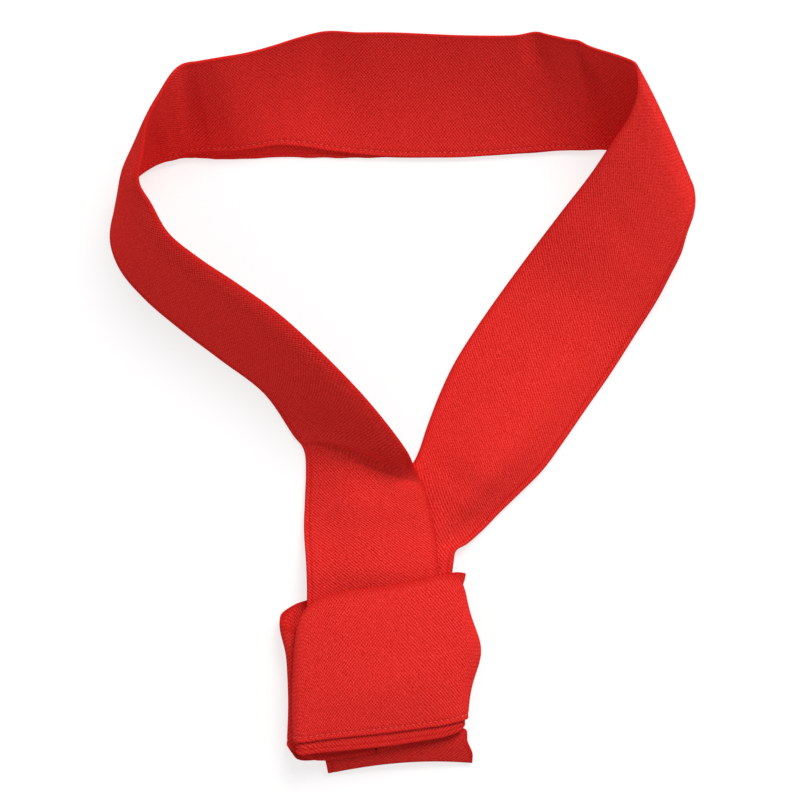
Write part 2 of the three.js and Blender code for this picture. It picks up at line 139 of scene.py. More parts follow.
# One strip folded double. In a section, w is the distance from the hem and o the distance from
# the middle surface. The skin runs w from -peek to the fold on the outer side, round a half
# circle, and back to 0 on the inner side, at o = +-(half + (puff - pinch) e), with e = (w / the
# fold's start)^6, less the line that the stitching presses in. The lining runs inside it at
# o = +-(slit / 2 + (puff - slitPinch) e). A section stands on
#   P(t, w, o) = hem(t) + w * across(t) + (o + rise(t, s)) * outward(t, w) + 4 lead s (1 - s) * along,
#   rise = 4 bow s (1 - s) + shoulder * 14.93 s^5 (1 - s) + dents, with s = w / width.
def foldedStrip(name, rows, spec):
    table = np.array([row + [0] * (len(columns) - len(row)) for row in rows], float)
    column = {key: table[:, index] for index, key in enumerate(columns)}
    places = np.linspace(0, len(table) - 1, (len(table) - 1) * spec["stepsPerRow"] + 1)
    hem = throughRows(table[:, 0:3], places)
    fold = throughRows(table[:, 3:6], places)
    value = {key: betweenRows(column[key], places)[:, None] for key in columns[6:]}
    width = np.linalg.norm(fold - hem, axis=1)[:, None]
    middle = (hem + fold) / 2
    along = np.r_[0, np.cumsum(np.linalg.norm(np.diff(middle, axis=0), axis=1))][:, None]

    slitHalf = spec["slit"] / 2
    half = spec["wall"] + slitHalf
    swell = value["puff"]
    foldRound = half - spec["pinch"] + swell
    foldStart = width - foldRound

    # distances from a layer's own hem: close together over the stitching, then even to the fold
    nearHem = np.array(spec["nearHem"])[None, :]
    shares = np.linspace(0, 1, spec["facePoints"] + 1)[None, 1:]
    ends = {"outer": -value["peek"], "inner": 0 * value["peek"]}
    faces = {}
    for layer, edge in ends.items():
        start = edge + nearHem[:, -1:]
        faces[layer] = np.hstack([edge + nearHem, start + shares * (foldStart - start)])
    angles = np.linspace(np.pi / 2, -np.pi / 2, spec["foldPoints"] + 2)[None, 1:-1]

    def towardsFold(w):
        return np.clip(w / foldStart, 0, 1) ** swellPower

    def halfAt(w):
        return half + (swell - spec["pinch"]) * towardsFold(w)

    def slitAt(w):
        return slitHalf + (swell - spec["slitPinch"]) * towardsFold(w)

    def seamDip(edge, w):
        offset = (w - edge - spec["seamIn"]) / spec["seamWidth"]
        return spec["seamDepth"] * np.exp(-(offset**2))

    outerTop = halfAt(faces["outer"]) - seamDip(ends["outer"], faces["outer"])
    innerTop = halfAt(faces["inner"]) - seamDip(ends["inner"], faces["inner"])
    skinW = np.hstack([faces["outer"], foldStart + foldRound * np.cos(angles), faces["inner"][:, ::-1]])
    skinO = np.hstack([outerTop, foldRound * np.sin(angles), -innerTop[:, ::-1]])
    slitOuter, slitInner = slitAt(faces["outer"]), slitAt(faces["inner"])
    foldHollow = slitHalf - spec["slitPinch"] + swell
    liningW = np.hstack([faces["outer"], foldStart + foldHollow * np.cos(angles), faces["inner"][:, ::-1]])
    liningO = np.hstack([slitOuter, foldHollow * np.sin(angles), -slitInner[:, ::-1]])

    hemAngles = np.linspace(np.pi / 2, -np.pi / 2, spec["hemPoints"] + 2)[None, 1:-1]

    def hemArc(edge, top, bottom):
        radius = (top - bottom) / 2
        return edge - radius * np.cos(hemAngles), (top + bottom) / 2 + radius * np.sin(hemAngles)

    innerW, innerO = hemArc(ends["inner"], -slitInner[:, :1], -innerTop[:, :1])
    outerW, outerO = hemArc(ends["outer"], outerTop[:, :1], slitOuter[:, :1])
    across = np.hstack([skinW, innerW[:, ::-1], liningW[:, ::-1], outerW[:, ::-1]])
    out = np.hstack([skinO, innerO[:, ::-1], liningO[:, ::-1], outerO[:, ::-1]])

    share = across / width
    inside = np.clip(share, 0, 1)
    point = hem[:, None, :] + share[:, :, None] * (fold - hem)[:, None, :]
    atInside = hem[:, None, :] + inside[:, :, None] * (fold - hem)[:, None, :]
    alongStrip = np.gradient(atInside, axis=0)
    acrossStrip = np.broadcast_to((fold - hem)[:, None, :], alongStrip.shape)
    outward = np.cross(acrossStrip, alongStrip)
    outward /= np.linalg.norm(outward, axis=2, keepdims=True)
    arch = 4 * inside * (1 - inside)
    raised = value["shoulder"] * shoulderPeak * inside**shoulderPower * (1 - inside)
    dents = dented(spec["dents"] + spec["creases"], places[:, None], inside)
    rise = out + value["bow"] * arch + raised + dents
    alongStrip /= np.linalg.norm(alongStrip, axis=2, keepdims=True)
    point = point + rise[:, :, None] * outward + (value["lead"] * arch)[:, :, None] * alongStrip
    point[:, :, 2] += np.maximum(0, -point[:, :, 2].min(axis=1))[:, None]  # lifted onto the surface

    rings = (point - outlineCentre) * millimetre
    skinCount, hemCount = skinW.shape[1], hemAngles.shape[1]
    piece = ringMesh(name, rings, skinCount, hemCount)

    # v is 0 along the fold, negative on the outer layer and positive on the inner one
    step = np.hypot(np.diff(skinW, axis=1), np.diff(skinO, axis=1))
    roundFold = np.hstack([0 * width, np.cumsum(step, axis=1)])
    roundFold = roundFold - roundFold[:, skinCount // 2][:, None]
    sameAlong = np.broadcast_to(along, across.shape)
    innerEnd, outerEnd = roundFold[:, -1:], roundFold[:, :1]
    hemRun = np.linspace(*hemTurn, hemCount)[None, :]
    sheetRound = np.hstack([roundFold, innerEnd + hemRun, roundFold[:, ::-1], outerEnd - hemRun[:, ::-1]])
    clothMap(piece, sameAlong, sheetRound)
    fromHem = np.minimum(sheetRound - outerEnd, innerEnd - sheetRound)
    vertexValue(piece, "fromHem", fromHem)
    ribRow, ribShare = np.array(spec["ribs"], float).T
    ribsAt = np.interp(places, ribRow, ribShare)[:, None]
    vertexValue(piece, "ribShare", np.broadcast_to(ribsAt, across.shape))
    vertexValue(piece, "foldEdge", np.exp(-((sheetRound / foldEdgeReach) ** 2)))
    # Painted shade: each piece's colour factor, lower where the piece lies in the knot's shade and on the
    # outer layer past the inner one's hem
    pastHem = np.clip(-across, 0, 1)
    vertexValue(piece, "paintedShade", spec["paintedShade"] * (1 - pastHem * (1 - spec["peekPaintedShade"])))
    return piece, {"rings": rings, "skin": skinCount, "nearHem": spec["nearHem"]}


# Dents in a strip, towards the outer layer where depth is positive: each is a bump
# depth * exp(-(p / rows)^2 - (q / shares)^2) about its own row and share of the width, where
# q is the share from its middle and p the rows from its line, which leans on with the share
def dented(dents, places, inside):
    height = np.zeros(inside.shape)
    for atRow, atShare, rows, shares, lean, depth in dents:
        q = inside - atShare
        p = places - atRow - lean * q
        height += depth * np.exp(-((p / rows) ** 2) - (q / shares) ** 2)
    return height


# A row of stitches: little ellipsoids laid one after another along a line on the cloth,
# x = a cos f, y = b sin f cos g, z = b sin f sin g, turned to the line's tangent and the cloth's
# outward side, and sunk a little into the cloth
def stitchRow(name, line, outward, spec):
    steps = np.r_[0, np.cumsum(np.linalg.norm(np.diff(line, axis=0), axis=1))]
    pitch = spec["pitch"] * millimetre
    centres = np.arange(pitch, steps[-1] - pitch, pitch)
    at = lambda values, s: np.stack([np.interp(s, steps, values[:, k]) for k in range(3)], axis=1)
    tangent = at(line, centres + pitch / 4) - at(line, centres - pitch / 4)
    tangent /= np.linalg.norm(tangent, axis=1, keepdims=True)
    up = at(outward, centres)
    side = np.cross(up, tangent)
    side /= np.linalg.norm(side, axis=1, keepdims=True)
    up = np.cross(tangent, side)
    centre = at(line, centres) - up * spec["sunk"] * millimetre

    rings, around = 5, 8
    f = np.linspace(0, np.pi, rings + 2)[1:-1, None]
    g = np.linspace(0, 2 * np.pi, around + 1)[None, :-1]
    ball = np.stack([np.cos(f) + 0 * g, np.sin(f) * np.cos(g), np.sin(f) * np.sin(g)], axis=2)
    ball = np.vstack([[[1, 0, 0]], ball.reshape(-1, 3), [[-1, 0, 0]]])
    shape = ball * np.array([spec["length"], spec["thread"], spec["thread"]]) / 2 * millimetre
    points = (
        centre[:, None, :]
        + shape[None, :, 0:1] * tangent[:, None, :]
        + shape[None, :, 1:2] * side[:, None, :]
        + shape[None, :, 2:3] * up[:, None, :]
    )
    ring, index = np.meshgrid(np.arange(rings - 1), np.arange(around), indexing="ij")
    here = (1 + ring * around + index).ravel()
    beside = (1 + ring * around + (index + 1) % around).ravel()
    quads = np.stack([here, here + around, beside + around, beside], axis=1)
    tips = np.arange(around)
    nextTips = (tips + 1) % around
    lastRing = 1 + (rings - 1) * around
    firstTip = np.stack([0 * tips, 1 + tips, 1 + nextTips], axis=1)
    lastTip = np.stack([0 * tips + lastRing + around, lastRing + nextTips, lastRing + tips], axis=1)
    offsets = np.arange(len(centres))[:, None, None] * len(shape)
    faces = (quads[None] + offsets).reshape(-1, 4).tolist()
    faces += (firstTip[None] + offsets).reshape(-1, 3).tolist()
    faces += (lastTip[None] + offsets).reshape(-1, 3).tolist()
    mesh = bpy.data.meshes.new(name)
    mesh.from_pydata(points.reshape(-1, 3).tolist(), [], faces)
    mesh.polygons.foreach_set("use_smooth", np.ones(len(mesh.polygons), bool))
    mesh.update()
    piece = bpy.data.objects.new(name, mesh)
    bpy.context.scene.collection.objects.link(piece)
    return piece


# The line of a strip's stitching on its inner layer, and the way that layer faces there
def seamLine(form, seamIn):
    nearHem = np.array(form["nearHem"])
    index = int(np.argmin(abs(nearHem - seamIn)))
    point = form["skin"] - 1 - index
    rings = form["rings"]
    line = rings[:, point]
    acrossStrip = rings[:, point - 1] - rings[:, point + 1]
    outward = np.cross(acrossStrip, np.gradient(line, axis=0))
    outward /= -np.linalg.norm(outward, axis=1, keepdims=True)
    return line, outward


def newMaterial(name):
    material = bpy.data.materials.new(name)
    material.use_nodes = True
    tree = material.node_tree
    return material, tree, tree.nodes["Principled BSDF"]


def node(tree, kind, settings=None, **inputs):
    made = tree.nodes.new(kind)
    for key, value in (settings or {}).items():
        setattr(made, key, value)
    for key, value in inputs.items():
        socket = made.inputs[int(key[1:])] if key[0] == "_" else made.inputs[key]
        if isinstance(value, bpy.types.NodeSocket):
            tree.links.new(value, socket)
        else:
            socket.default_value = value
    return made


def maths(tree, operation, *values):
    made = node(tree, "ShaderNodeMath", {"operation": operation})
    for index, value in enumerate(values):
        if isinstance(value, bpy.types.NodeSocket):
            tree.links.new(value, made.inputs[index])
        else:
            made.inputs[index].default_value = value
    return made.outputs[0]


def mixColour(tree, share, first, second, blend="MIX"):
    made = tree.nodes.new("ShaderNodeMix")
    made.data_type = "RGBA"
    made.blend_type = blend
    for index, value in ((0, share), (6, first), (7, second)):
        if isinstance(value, bpy.types.NodeSocket):
            tree.links.new(value, made.inputs[index])
        else:
            made.inputs[index].default_value = value
    return made.outputs[2]


# A value in one range brought onto another range, and kept within it
def spread(tree, value, low, high, toLow, toHigh):
    made = node(tree, "ShaderNodeMapRange", _0=value, _1=low, _2=high, _3=toLow, _4=toHigh)
    return made.outputs[0]


def noise(tree, place, scale, detail, **more):
    made = node(tree, "ShaderNodeTexNoise", Vector=place, Scale=scale, Detail=detail, **more)
    return made.outputs[0]


def attribute(tree, name):
    return node(tree, "ShaderNodeAttribute", {"attribute_name": name}).outputs["Fac"]


# Ribbed red cotton. Two families of fine ribs cross on the bias: each is the sine of a distance
# measured across it on the cloth's own map, and ribShare says which of the two stands out.
# Noise makes the ribs wander and quiver, weakens them in patches, and gives the yarn its grain
# and its pink flecks. The cloth is darker along its stitching, as exp(-(distance / reach)^2): painted
# shade of the sunk stitches. It is darker along the fold and the hem too: painted shade that dims
# the rims' highlight and marks the shadow at the hem's edge. Each piece's colour is also multiplied
# by its own painted shade, darker on the pieces that lie in the knot's shade and on the outer layer
# where it shows past the inner one.
def clothMaterial(name, look):
    material, tree, shader = newMaterial(name)
    uv = node(tree, "ShaderNodeUVMap", {"uv_map": "clothMap"}).outputs[0]
    split = node(tree, "ShaderNodeSeparateXYZ", _0=uv)
    place = node(tree, "ShaderNodeTexCoord").outputs["Object"]
    wander = maths(tree, "SUBTRACT", noise(tree, place, look["driftScale"], 2.0), 0.5)
    quiver = maths(tree, "SUBTRACT", noise(tree, place, look["quiverScale"], 1.0), 0.5)
    unsteady = maths(tree, "MULTIPLY", quiver, look["quiver"])
    drift = maths(tree, "MULTIPLY_ADD", wander, look["drift"], unsteady)

    def ribs(angle):
        turn = np.radians(angle)
        u = maths(tree, "MULTIPLY", split.outputs[0], float(np.sin(turn)))
        v = maths(tree, "MULTIPLY", split.outputs[1], float(np.cos(turn)))
        distance = maths(tree, "ADD", maths(tree, "ADD", u, v), drift)
        phase = maths(tree, "MULTIPLY", distance, 2 * np.pi / (look["ribPitch"] * millimetre))
        return maths(tree, "MULTIPLY_ADD", maths(tree, "SINE", phase), 0.5, 0.5)

    share = attribute(tree, "ribShare")
    withFold = maths(tree, "MULTIPLY", ribs(look["ribAngle"]), share)
    otherShare = maths(tree, "SUBTRACT", 1.0, share)
    weave = maths(tree, "MULTIPLY_ADD", ribs(-look["ribAngle"]), otherShare, withFold)
    patches = noise(tree, place, look["patchScale"], 1.0)
    patches = spread(tree, patches, *look["patchNoise"], look["patchLow"], look["patchHigh"])
    weave = maths(tree, "MULTIPLY_ADD", maths(tree, "SUBTRACT", weave, 0.5), patches, 0.5)
    grain = noise(tree, place, look["grainScale"], 2.0, Roughness=0.7)

    # Lighter, pinker crests and darker gaps: the weave's own pattern, with painted sheen on the thread
    # crests and painted shade between the threads
    cloth = mixColour(tree, weave, look["gap"], look["crest"])
    speckle = spread(tree, grain, *look["grainNoise"], 1 - look["speckle"], 1 + look["speckle"])
    cloth = mixColour(tree, 1.0, cloth, speckle, "MULTIPLY")
    blotches = noise(tree, place, look["blotchScale"], 3.0)
    blotches = spread(tree, blotches, *look["blotchNoise"], 0.0, look["blotch"])
    cloth = mixColour(tree, blotches, cloth, look["faded"])
    flecks = spread(tree, grain, *look["fleckNoise"], 0.0, look["fleckShare"])
    cloth = mixColour(tree, flecks, cloth, look["fleck"])

    fromHem = attribute(tree, "fromHem")
    # Painted shade: a darker line along the stitching, the shadow of the sunk stitches
    offset = maths(tree, "SUBTRACT", fromHem, look["seamIn"])
    offset = maths(tree, "DIVIDE", offset, look["seamReach"])
    square = maths(tree, "MULTIPLY", offset, offset)
    besideSeam = maths(tree, "EXPONENT", maths(tree, "MULTIPLY", square, -1.0))
    shade = maths(tree, "MULTIPLY", besideSeam, look["seamPaintedShade"])
    cloth = mixColour(tree, shade, cloth, look["gap"])
    # Painted shade: the piece's colour factor darkens it where it lies in shade
    cloth = mixColour(tree, 1.0, cloth, attribute(tree, "paintedShade"), "MULTIPLY")
    # Painted shade along the fold's and the hem's edges, dimming the rims' highlight and marking the
    # shadow at the hem's edge
    hemEdge = spread(tree, fromHem, 0.0, look["hemReach"], look["hemShadeShare"], 0.0)
    shadedEdges = maths(tree, "MAXIMUM", attribute(tree, "foldEdge"), hemEdge)
    cloth = mixColour(tree, maths(tree, "MULTIPLY", shadedEdges, look["edgeShadeShare"]), cloth, look["edgeShadeColour"])
    tree.links.new(cloth, shader.inputs["Base Color"])

    rough = spread(tree, weave, 0.0, 1.0, look["roughGap"], look["roughCrest"])
    tree.links.new(rough, shader.inputs["Roughness"])
    height = maths(tree, "MULTIPLY_ADD", grain, look["grainHeight"], weave)
    relief = look["relief"] * millimetre
    bump = node(tree, "ShaderNodeBump", Strength=look["bump"], Distance=relief, Height=height)
    tree.links.new(bump.outputs[0], shader.inputs["Normal"])
    shader.inputs["Specular IOR Level"].default_value = look["specular"]
    return material


# Lengths in mm: rib pitch, seam, hem and relief. Scales are per metre, drift and quiver in metres.
# A pair ending in Noise is the stretch of that noise's values over which its effect grows.
clothLook = {
    # Crest and gap colours carry the weave with painted sheen on the crests and painted shade in the gaps
    "crest": (0.87, 0.043, 0.036, 1),
    "gap": (0.50, 0.002, 0.002, 1),
    "faded": (0.80, 0.028, 0.022, 1),
    "fleck": (0.86, 0.130, 0.118, 1),
    # Colour of the painted shade along the fold and hem edges
    "edgeShadeColour": (0.50, 0.010, 0.008, 1),
    "ribPitch": 1.02,
    "ribAngle": 52,
    "drift": 0.0006,
    "driftScale": 55.0,
    "quiver": 0.0006,
    "quiverScale": 800.0,
    "patchScale": 640.0,
    "patchNoise": (0.35, 0.65),
    "patchLow": 0.7,
    "patchHigh": 1.3,
    "grainScale": 2500.0,
    "grainNoise": (0.25, 0.75),
    "grainHeight": 0.6,
    "speckle": 0.44,
    "fleckNoise": (0.5, 0.72),
    "fleckShare": 0.3,
    "blotch": 0.25,
    "blotchScale": 22.0,
    "blotchNoise": (0.3, 0.7),
    # How strongly, and how far in from the hem, the edges take their painted shade
    "edgeShadeShare": 0.75,
    "hemShadeShare": 0.5,
    "hemReach": 0.9,
    "seamIn": 1.8,
    "seamReach": 0.5,
    # Painted shade along the stitching line
    "seamPaintedShade": 0.4,
    "roughGap": 0.80,
    "roughCrest": 0.72,
    "bump": 0.6,
    "relief": 0.14,
    "specular": 0.0,
}
redCloth = clothMaterial("red_ribbed_cloth", clothLook)


# Sewing thread: the cloth's red, a little lighter, with a fine twist
def threadMaterial(name, look):
    material, tree, shader = newMaterial(name)
    place = node(tree, "ShaderNodeTexCoord").outputs["Object"]
    wave = {"bands_direction": "DIAGONAL"}
    twist = node(tree, "ShaderNodeTexWave", wave, Vector=place, Scale=look["twistScale"], Distortion=1.0)
    colour = mixColour(tree, twist.outputs[1], look["dark"], look["light"])
    tree.links.new(colour, shader.inputs["Base Color"])
    relief = look["relief"] * millimetre
    bump = node(tree, "ShaderNodeBump", Strength=look["bump"], Distance=relief, Height=twist.outputs[1])
    tree.links.new(bump.outputs[0], shader.inputs["Normal"])
    shader.inputs["Roughness"].default_value = look["roughness"]
    shader.inputs["Sheen Weight"].default_value = look["sheen"]
    return material


threadLook = {
    "light": (0.86, 0.072, 0.060, 1),
    "dark": (0.66, 0.026, 0.021, 1),
    "twistScale": 420.0,
    "bump": 0.4,
    "relief": 0.05,
    "roughness": 0.6,
    "sheen": 0.2,
}
redThread = threadMaterial("red_sewing_thread", threadLook)
print("materials made")

# The make of a strip. nearHem are places in from a hem where the skin has points.
doubleCloth = {
    "wall": 1.0,
    "slit": 0.4,
    "pinch": 0.6,  # how much thinner the whole is at its fold
    "slitPinch": 0.1,
    "foldPoints": 9,
    "hemPoints": 3,
    "facePoints": 24,
    "nearHem": [0, 0.35, 0.8, 1.3, 1.8, 2.3, 3.0, 4.0, 5.5, 7.5],
    "seamIn": 1.8,
    "seamWidth": 0.55,
    "seamDepth": 0.2,
    "peekPaintedShade": 1.0,  # painted shade, as a colour factor, of the outer layer where it shows beyond the inner one
    "creases": [],
}
thinCloth = {**doubleCloth, "wall": 0.85, "slit": 0.3}
stitchSpec = {"pitch": 2.4, "length": 1.7, "thread": 0.46, "sunk": 0.1}

neckBand = {
    **doubleCloth,
    "paintedShade": 1.0,
    "stepsPerRow": 7,
    "dents": [
        # Creases that run down from the back's raised edge towards the right turn
        [31.0, 0.86, 0.4, 0.24, -1.2, 2.2],
        [33.4, 0.82, 0.4, 0.22, -1.4, 2.2],
        # Valley below the corner of the left turn
        [18.95, 0.05, 1.5, 0.5, 1.1, 3.4],
        # Left leg's low stretch and right leg's low stretch, curling down to their hems
        [4.0, 0.38, 2.4, 0.26, 0.0, 2.8],
        [46.4, 0.26, 3.0, 0.2, 0.0, 3.6],
        [48.2, 0.34, 1.6, 0.2, 0.0, 3.0],
        [49.8, 0.3, 1.3, 0.16, 0.0, 1.6],
    ],
    "creases": [
        # Sharper middle of the left turn's valley
        [19.3, 0.45, 0.75, 0.4, 0.9, 2.0],
    ],
    "ribs": [
        [0, 0.9], [5, 0.85], [7, 0.6], [21, 0.5], [28, 0.5],
        [30, 0.3], [34, 0.4], [35, 0.5], [38, 0.8], [40, 0.85],
    ],
    "rows": [
        # Left leg, from inside the knot over the right leg to the crease
        [-39.2, -99.5, upperLegLevel, 15.4, -99.5, upperLegLevel, 0.0, 0.0, 0.0, 0.8],
        [-38.6, -83.0, upperLegLevel, 16.0, -82.0, upperLegLevel, 0.0, 0.0, 0.0, 0.8],
        [-38.9, -70.0, 8.4, 15.6, -70.0, 9.0, 1.0, 0.0, 0.1, 0.8],
        [-40.0, -55.0, 3.6, 14.4, -57.0, 6.8, 2.6, 0.0, 0.2, 0.8],
        [-39.8, -42.0, 1.6, 12.2, -46.0, 6.6, 3.2, 0.2, 0.2, 0.6],
        [-39.4, -31.0, 1.3, 10.6, -39.6, 6.8, 2.8, 0.4, 0.3, 0.6, 1.0],
        [-39.8, -23.0, 1.2, 8.4, -34.2, 7.0, 2.3, 0.6, 0.3, 0.6, 3.4],
        [-41.2, -19.0, 1.1, 5.6, -28.4, 11.2, 1.3, 1.0, 0.3, 0.6, 7.0],
        # Left leg leaning on its hem, up to the left turn
        [-44.4, -14.8, 1.0, 1.8, -20.4, 22.6, 0.4, 1.4, 0.3, 0.6, 6.0],
        [-57.0, 3.6, 1.0, -17.5, 4.0, 38.6, 0.6, 1.8, 0.3, 0.6, 2.0],
        [-76.0, 18.4, 1.0, -48.0, 33.7, 44.5, 0.8, 2.0, 0.3, 0.6],
        [-93.2, 31.4, 1.0, -66.8, 47.6, 46.0, 0.8, 2.0, 0.3, 0.6],
        [-108.2, 44.2, 1.0, -83.0, 58.4, 47.0, 0.8, 2.0, 0.3, 0.6],
        [-118.6, 56.6, 1.0, -95.2, 68.4, 48.5, 0.8, 1.6, 0.3, 0.6],
        # Left turn, standing on its hem
        [-122.6, 68.6, 1.0, -102.2, 80.4, 50.0, 1.4, 1.0, 0.3, 0.6],
        [-120.4, 82.0, 1.0, -107.2, 89.4, 51.0, 2.4, 0.4, 0.3, 0.6],
        [-115.4, 92.8, 1.0, -105.7, 100.6, 51.0, 4.0, 0.0, 0.3, 0.8],
        [-105.2, 99.7, 1.8, -103.6, 114.8, 50.0, 3.4, 0.0, 0.3, 2.0],
        [-95.6, 101.6, 3.4, -98.2, 125.6, 48.8, 2.2, 0.0, 0.3, 3.0],
        [-88.4, 102.7, 4.6, -92.4, 134.6, 47.0, 0.8, 0.0, 0.3, 4.4],
        [-83.0, 104.7, 5.2, -88.4, 137.6, 46.0, 1.4, 0.0, 0.2, 5.2],
        [-78.4, 105.9, 5.5, -83.3, 138.8, 45.4, 1.2, 0.0, 0.2, 5.8],
        # Back, with the inner face up and the fold raised at the rear
        [-70.4, 106.5, 5.2, -74.1, 140.7, 43.6, 0.9, 0.0, 0.2, 5.8],
        [-60.6, 107.8, 5.2, -63.7, 143.2, 38.4, 1.6, 0.0, 0.2, 6.5],
        [-52.0, 109.0, 4.9, -53.7, 146.2, 35.6, 2.8, 0.0, 0.2, 7.0],
        [-42.0, 108.4, 4.1, -43.7, 149.6, 34.2, 3.4, 0.0, 0.2, 6.2],
        [-30.0, 106.7, 2.9, -31.7, 152.7, 33.4, 3.8, 0.0, 0.2, 4.0],
        [-17.0, 105.3, 2.1, -17.5, 152.3, 33.0, 3.2, 0.0, 0.2, 2.3],
        [-5.0, 104.5, 1.6, -4.8, 152.4, 32.4, 2.4, 0.0, 0.2, 1.1],
        [24.0, 104.2, 1.2, 24.3, 151.2, 32.4, 2.4, 0.0, 0.2, 0.6],
        [45.0, 105.6, 1.2, 45.2, 150.9, 33.6, 2.2, 0.0, 0.2, 1.0],
        [57.0, 106.6, 1.3, 56.3, 151.3, 36.4, 2.4, 0.0, 0.2, 1.4],
        [67.0, 107.2, 1.6, 63.9, 149.7, 40.0, 2.6, 0.0, 0.2, 1.2],
        [77.0, 107.2, 2.2, 70.9, 147.3, 43.0, 3.0, 0.0, 0.2, 1.0],
        [88.1, 107.2, 2.4, 79.2, 144.4, 43.4, 5.0, 0.0, 0.2, 0.8],
        # Right turn, a soft roll over a slanting line
        [105.4, 101.4, 4.2, 90.2, 140.6, 45.6, 5.0, 0.0, 0.2, 0.8],
        [119.8, 94.2, 10.6, 95.2, 137.4, 48.8, 0.8, 0.0, 0.2, 0.8],
        [122.0, 86.6, 14.6, 95.9, 132.6, 48.6, -0.4, 0.0, 0.2, 0.8],
        [121.2, 78.8, 17.0, 96.2, 126.4, 45.6, -1.2, 0.0, 0.2, 0.8],
        [118.9, 71.4, 16.4, 93.6, 117.6, 41.0, -1.2, 0.2, 0.2, 0.8],
        # Right leg, coming down to the surface
        [116.8, 63.4, 14.0, 87.0, 107.0, 35.4, -0.8, 0.4, 0.3, 0.8],
        [112.3, 53.9, 10.8, 77.9, 93.4, 27.4, -0.2, 0.4, 0.3, 0.8],
        [106.9, 43.3, 7.0, 66.8, 79.1, 19.4, 1.0, 0.4, 0.3, 0.8],
        [98.3, 29.4, 3.2, 53.1, 61.0, 10.0, 1.6, 0.2, 0.3, 0.8],
        [87.6, 12.4, 1.6, 41.8, 45.6, 5.4, 2.4, 0.0, 0.3, 0.8],
        [77.5, -2.2, 1.3, 31.0, 30.0, 3.2, 2.8, 0.0, 0.3, 0.8],
        [67.6, -16.6, 1.3, 22.1, 15.6, 2.4, 3.0, 0.0, 0.3, 0.8],
        [58.8, -28.6, 1.3, 16.0, 2.6, 1.9, 3.2, 0.0, 0.2, 0.8],
        [48.9, -38.6, 1.3, 11.0, -10.4, 1.6, 2.8, 0.0, 0.1, 0.8],
        [40.4, -46.9, 1.3, 5.6, -25.0, 1.4, 1.4, 0.0, 0.0, 0.8],
        [33.2, -54.5, 1.8, -6.0, -40.0, 1.4, 0.2, 0.0, 0.0, 0.8],
        [26.4, -60.6, 3.6, -16.0, -51.0, 2.4, 0.0, 0.0, 0.0, 0.8],
        [21.8, -63.6, 5.0, -24.0, -60.0, 4.0, 0.0, 0.0, 0.0, 0.8],
        [20.8, -68.0, lowerLegLevel - 0.4, -29.0, -68.0, 5.8, 0.0, 0.0, 0.0, 0.8],
        [19.4, -82.0, lowerLegLevel, -32.0, -82.0, lowerLegLevel, 0.0, 0.0, 0.0, 0.8],
        [18.6, -99.5, lowerLegLevel, -32.0, -99.5, lowerLegLevel, 0.0, 0.0, 0.0, 0.8],
    ],
}

knotWrap = {
    **doubleCloth,
    "paintedShade": 1.0,
    # Painted shade on the strip of the outer layer below the inner layer's hem
    "peekPaintedShade": 0.84,
    "stepsPerRow": 8,
    "dents": [
        # Bulge of the right fold
        [11.0, 0.57, 0.9, 0.25, 0.0, -5.0],
        # Rise of the front panel above its hem
        [7.4, 0.3, 2.6, 0.2, 0.0, -1.2],
    ],
    "ribs": [[1, 0.5], [4, 0.75], [5, 0.75], [7, 0.5], [8, 0.2], [9, 0.1], [10, 0.2], [12, 0.5]],
    "rows": [
        # Flap turned under the left edge
        [-18.0, -138.0, 12.8, -15.0, -85.0, flapLevel + 0.4, 1.0, 0.0, 0.0, 3.6],
        [-34.0, -140.0, 12.8, -31.0, -86.5, flapLevel + 0.4, 1.0, 0.0, 0.0, 4.4],
        # Left fold, rounded at its top
        [-42.5, -142.0, 12.9, -41.2, -90.0, flapLevel + 0.6, 0.4, 0.0, 0.0, 4.8],
        [-44.4, -142.6, 14.6, -43.4, -95.0, flapLevel + 2.3, -0.8, 0.0, 0.0, 5.0],
        [-42.5, -142.8, 16.3, -41.4, -88.4, flapLevel + 4.0, -1.0, 0.0, 0.0, 5.4],
        # Front panel, with the inner face up
        [-34.0, -141.7, 16.0, -34.0, -82.4, frontLevel + 0.5, -2.0, 0.0, 0.0, 5.6],
        [-22.0, -140.4, 15.7, -22.0, -79.4, frontLevel + 0.3, -2.4, 0.0, 0.0, 5.8],
        [-6.0, -138.9, 14.4, -6.0, -77.4, frontLevel - 0.7, -2.6, 0.0, 0.0, 5.8],
        [8.0, -137.2, 13.0, 8.0, -74.8, frontLevel - 1.7, -2.6, 0.0, 0.0, 5.6],
        [17.6, -136.0, 12.2, 18.0, -72.8, frontLevel - 2.8, -2.2, 0.0, 0.0, 5.2],
        # Right fold, clear of the corner where the inner turn shows
        [24.6, -134.4, 11.0, 23.8, -74.0, 13.0, -1.2, 0.0, 0.0, 4.6],
        [27.0, -133.8, 7.2, 26.8, -83.4, 8.0, -0.6, 0.0, 0.0, 3.0],
        [25.4, -134.4, 2.5, 25.6, -84.0, 2.6, -0.4, 0.0, 0.0, 2.0],
        # Back panel, flat on the surface
        [19.0, -136.0, backLevel, 19.0, -82.0, backLevel, 0.0, 0.0, 0.0, 1.0],
        [0.0, -138.0, backLevel, 0.0, -79.5, backLevel, 0.0, 0.0, 0.0, 1.0],
        [-17.0, -139.0, backLevel, -17.0, -79.0, backLevel, 0.0, 0.0, 0.0, 1.0],
        [-34.0, -140.0, backLevel, -34.0, -79.5, backLevel, 0.0, 0.0, 0.0, 1.0],
    ],
}

